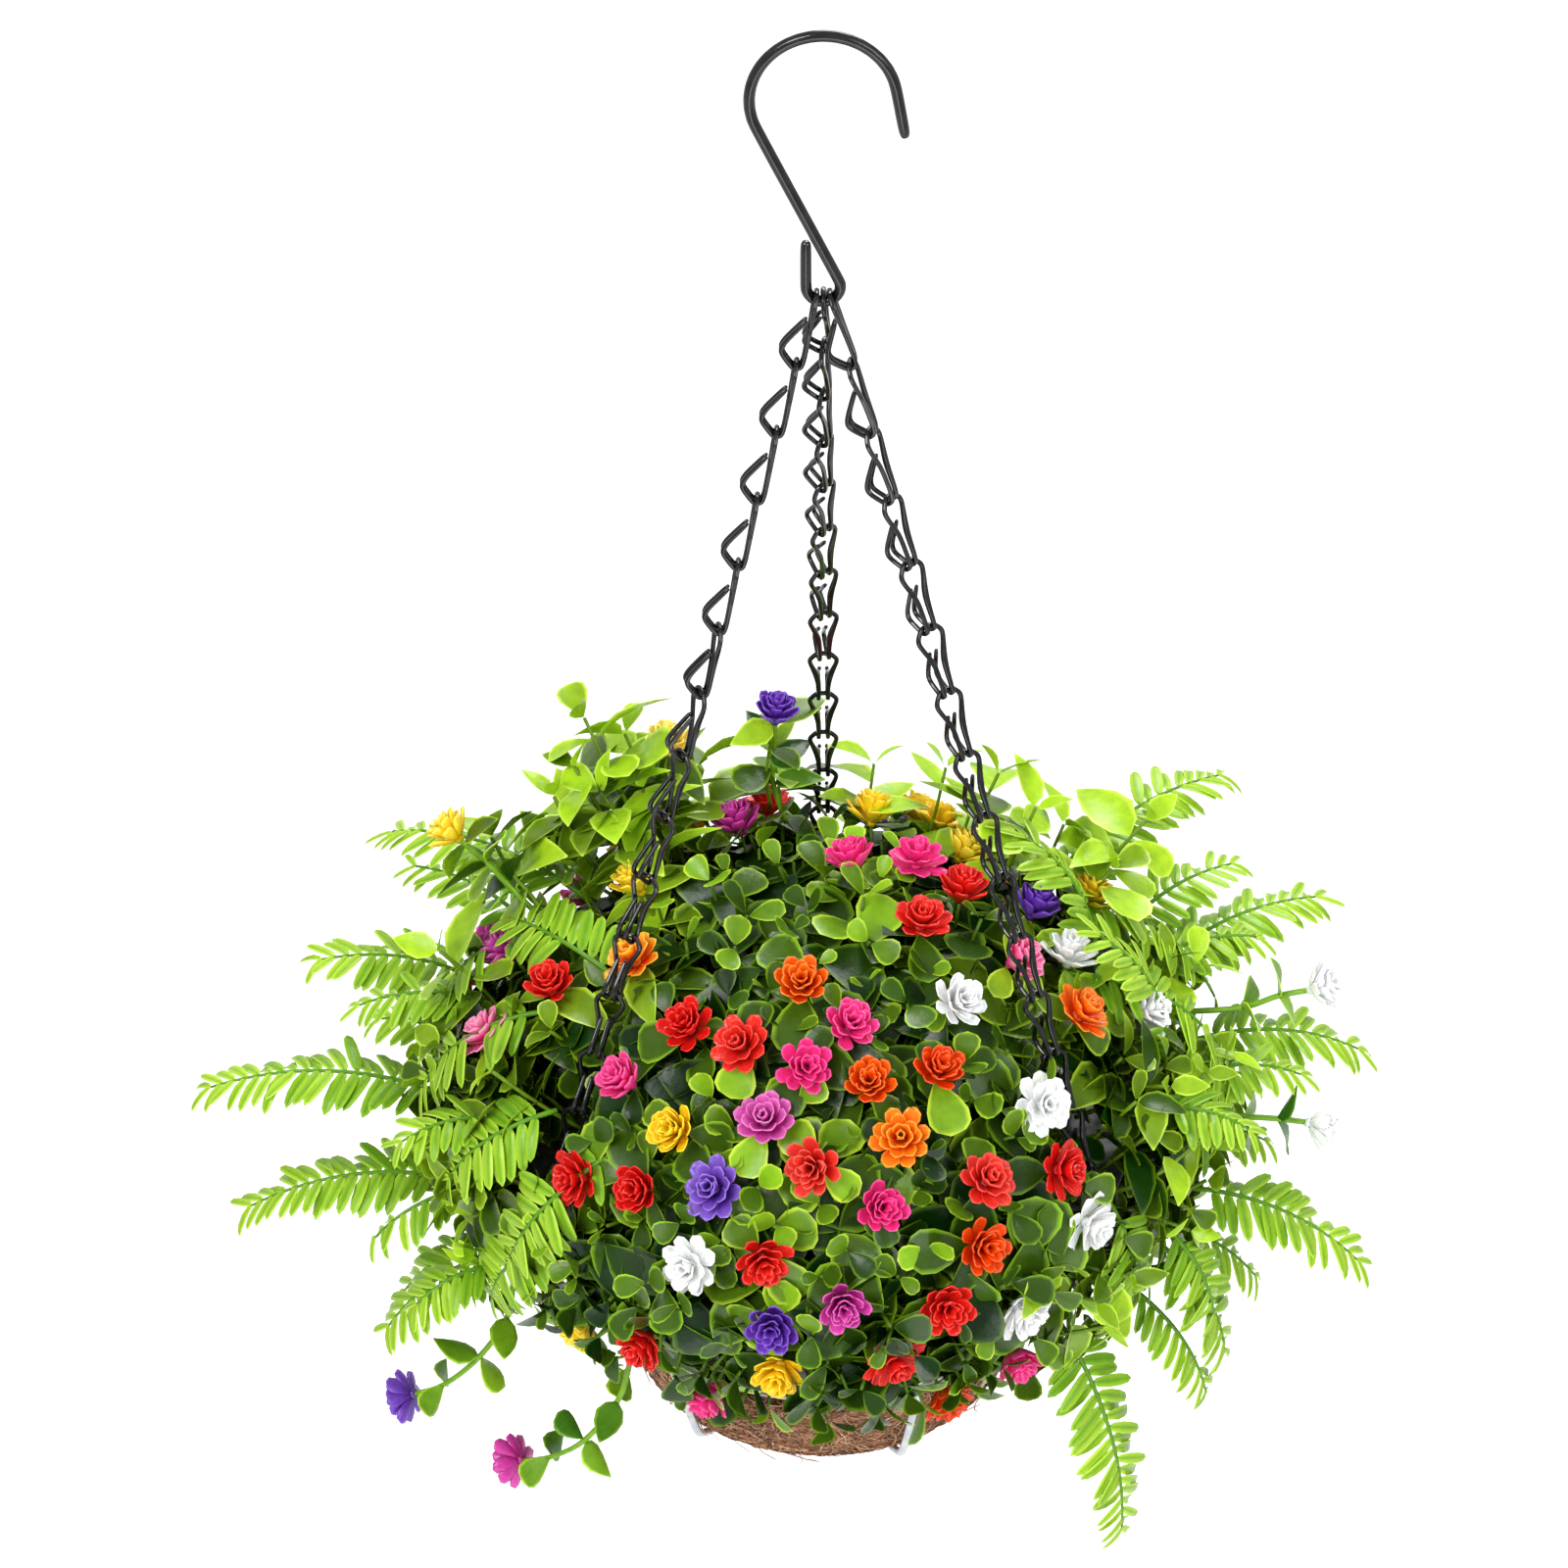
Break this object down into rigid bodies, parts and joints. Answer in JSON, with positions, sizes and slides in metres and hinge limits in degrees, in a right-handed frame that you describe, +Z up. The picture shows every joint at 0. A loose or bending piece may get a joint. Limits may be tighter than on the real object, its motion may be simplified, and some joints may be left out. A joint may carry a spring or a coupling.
{
  "type": "hanging basket",
  "caption": "Round wire hanging basket on chains and a double-ended hook, with a coir liner, an inner pot and a mound of artificial bedding flowers and fern.",
  "frame": {"origin": "where the hook rests on its rail, the top of the inside of its wide bend", "axes": "+Z up, the rail runs along Y, the hook's bends lie in the XZ plane and its shank is on the -X side"},
  "size_m": [0.4535, 0.2745, 0.6099],
  "materials": {
    "coated_wire": "gloss black coating",
    "galvanised_wire": "galvanised",
    "coir": "tangled fibre",
    "pot_plastic": "satin",
    "foam": "matt",
    "leaves": "printed cloth with pale rims",
    "fern_leaf": "satin",
    "sprig_leaf": "satin",
    "petals_yellow": "soft cloth",
    "petals_red": "soft cloth",
    "petals_orange": "soft cloth",
    "petals_pink": "soft cloth",
    "petals_magenta": "soft cloth",
    "petals_violet": "soft cloth",
    "petals_white": "soft cloth"
  },
  "bodies": {
    "hanger": {"hook": "coated_wire"},
    "basket": {"belt_ring": "galvanised_wire", "blossoms_magenta": "petals_magenta", "blossoms_orange": "petals_orange", "blossoms_pink": "petals_pink", "blossoms_red": "petals_red", "blossoms_violet": "petals_violet", "blossoms_white": "petals_white", "blossoms_yellow": "petals_yellow", "bush_1": "leaves", "bush_2": "leaves", "bush_3": "leaves", "bush_4": "leaves", "bush_5": "leaves", "bush_6": "leaves", "chain_back": "coated_wire", "chain_left": "coated_wire", "chain_right": "coated_wire", "coir_liner": "coir", "crown_bush": "leaves", "foam_block": "foam", "foot_ring": "galvanised_wire", "inner_pot": "pot_plastic", "rib_1": "galvanised_wire", "rib_2": "galvanised_wire", "rib_3": "galvanised_wire", "rib_4": "galvanised_wire", "rib_5": "galvanised_wire", "rib_6": "galvanised_wire", "rim_hook_back": "coated_wire", "rim_hook_left": "coated_wire", "rim_hook_right": "coated_wire", "rim_ring": "galvanised_wire", "short_fronds_left": "fern_leaf", "short_fronds_right": "fern_leaf", "upright_sprig_1": "sprig_leaf", "upright_sprig_1_blossom": "petals_violet", "upright_sprig_2": "sprig_leaf", "upright_sprig_2_blossom": "petals_yellow", "upright_sprig_3": "sprig_leaf", "upright_sprig_3_blossom": "petals_yellow"},
    "frond_left_1": {"fern_left_1": "fern_leaf"},
    "frond_left_2": {"fern_left_2": "fern_leaf"},
    "frond_left_3": {"fern_left_3": "fern_leaf"},
    "frond_left_4": {"fern_left_4": "fern_leaf"},
    "frond_left_5": {"fern_left_5": "fern_leaf"},
    "frond_right_1": {"fern_right_1": "fern_leaf"},
    "frond_right_2": {"fern_right_2": "fern_leaf"},
    "frond_right_3": {"fern_right_3": "fern_leaf"},
    "frond_right_4": {"fern_right_4": "fern_leaf"},
    "frond_right_5": {"fern_right_5": "fern_leaf"},
    "frond_right_6": {"fern_right_6": "fern_leaf"},
    "side_sprig_1_piece": {"side_sprig_1": "sprig_leaf", "side_sprig_1_blossom": "petals_white"},
    "side_sprig_2_piece": {"side_sprig_2": "sprig_leaf", "side_sprig_2_blossom": "petals_white"},
    "trailing_sprig_1_piece": {"trailing_sprig_1": "sprig_leaf", "trailing_sprig_1_blossom": "petals_violet"},
    "trailing_sprig_2_piece": {"trailing_sprig_2": "sprig_leaf", "trailing_sprig_2_blossom": "petals_magenta"}
  },
  "joints": [
    {"name": "basket_swing", "type": "hinge", "parent": "hanger", "child": "basket", "pos_m": [0, 0, -0.1007], "axis": [1, 0, 0], "range_deg": [-35, 35]},
    {"name": "fern_left_1_flex", "type": "hinge", "parent": "basket", "child": "frond_left_1", "pos_m": [-0.09131, 0.03323, -0.39541], "axis": [-0.4741, -0.8804, 0], "range_deg": [-6, 6], "stiffness_Nm_per_rad": 0.03},
    {"name": "fern_left_2_flex", "type": "hinge", "parent": "basket", "child": "frond_left_2", "pos_m": [-0.13397, 0.05141, -0.45654], "axis": [0.1464, -0.9892, 0], "range_deg": [-6, 6], "stiffness_Nm_per_rad": 0.03},
    {"name": "fern_left_3_flex", "type": "hinge", "parent": "basket", "child": "frond_left_3", "pos_m": [-0.14571, 0, -0.46927], "axis": [0, -1, 0], "range_deg": [-6, 6], "stiffness_Nm_per_rad": 0.03},
    {"name": "fern_left_4_flex", "type": "hinge", "parent": "basket", "child": "frond_left_4", "pos_m": [-0.14238, -0.02777, -0.48725], "axis": [0.1417, -0.9899, 0], "range_deg": [-6, 6], "stiffness_Nm_per_rad": 0.03},
    {"name": "fern_left_5_flex", "type": "hinge", "parent": "basket", "child": "frond_left_5", "pos_m": [-0.12795, -0.04657, -0.50824], "axis": [0.4062, -0.9138, 0], "range_deg": [-6, 6], "stiffness_Nm_per_rad": 0.03},
    {"name": "fern_right_1_flex", "type": "hinge", "parent": "basket", "child": "frond_right_1", "pos_m": [0.08752, 0.07344, -0.42408], "axis": [-0.5793, 0.8151, 0], "range_deg": [-6, 6], "stiffness_Nm_per_rad": 0.03},
    {"name": "fern_right_2_flex", "type": "hinge", "parent": "basket", "child": "frond_right_2", "pos_m": [0.13057, 0.04752, -0.44438], "axis": [-0.39, 0.9208, 0], "range_deg": [-6, 6], "stiffness_Nm_per_rad": 0.03},
    {"name": "fern_right_3_flex", "type": "hinge", "parent": "basket", "child": "frond_right_3", "pos_m": [0.14552, 0.02842, -0.46532], "axis": [-0.079, 0.9969, 0], "range_deg": [-6, 6], "stiffness_Nm_per_rad": 0.03},
    {"name": "fern_right_4_flex", "type": "hinge", "parent": "basket", "child": "frond_right_4", "pos_m": [0.14239, -0.025, -0.49446], "axis": [0.2279, 0.9737, 0], "range_deg": [-6, 6], "stiffness_Nm_per_rad": 0.03},
    {"name": "fern_right_5_flex", "type": "hinge", "parent": "basket", "child": "frond_right_5", "pos_m": [0.13097, -0.04511, -0.5051], "axis": [0.4126, 0.9109, 0], "range_deg": [-6, 6], "stiffness_Nm_per_rad": 0.03},
    {"name": "fern_right_6_flex", "type": "hinge", "parent": "basket", "child": "frond_right_6", "pos_m": [0.09038, -0.07584, -0.51504], "axis": [0.7383, 0.6745, 0], "range_deg": [-6, 6], "stiffness_Nm_per_rad": 0.03},
    {"name": "side_sprig_1_flex", "type": "hinge", "parent": "basket", "child": "side_sprig_1_piece", "pos_m": [0.13683, 0.01431, -0.43726], "axis": [0.0777, 0.997, 0], "range_deg": [-6, 6], "stiffness_Nm_per_rad": 0.03},
    {"name": "side_sprig_2_flex", "type": "hinge", "parent": "basket", "child": "side_sprig_2_piece", "pos_m": [0.14537, -0.00758, -0.47288], "axis": [0.092, 0.9958, 0], "range_deg": [-6, 6], "stiffness_Nm_per_rad": 0.03},
    {"name": "trailing_sprig_1_flex", "type": "hinge", "parent": "basket", "child": "trailing_sprig_1_piece", "pos_m": [-0.12143, -0.0466, -0.51823], "axis": [-0.0518, -0.9987, 0], "range_deg": [-6, 6], "stiffness_Nm_per_rad": 0.03},
    {"name": "trailing_sprig_2_flex", "type": "hinge", "parent": "basket", "child": "trailing_sprig_2_piece", "pos_m": [-0.07313, -0.09374, -0.51491], "axis": [-0.303, -0.953, 0], "range_deg": [-6, 6], "stiffness_Nm_per_rad": 0.03}
  ]
}
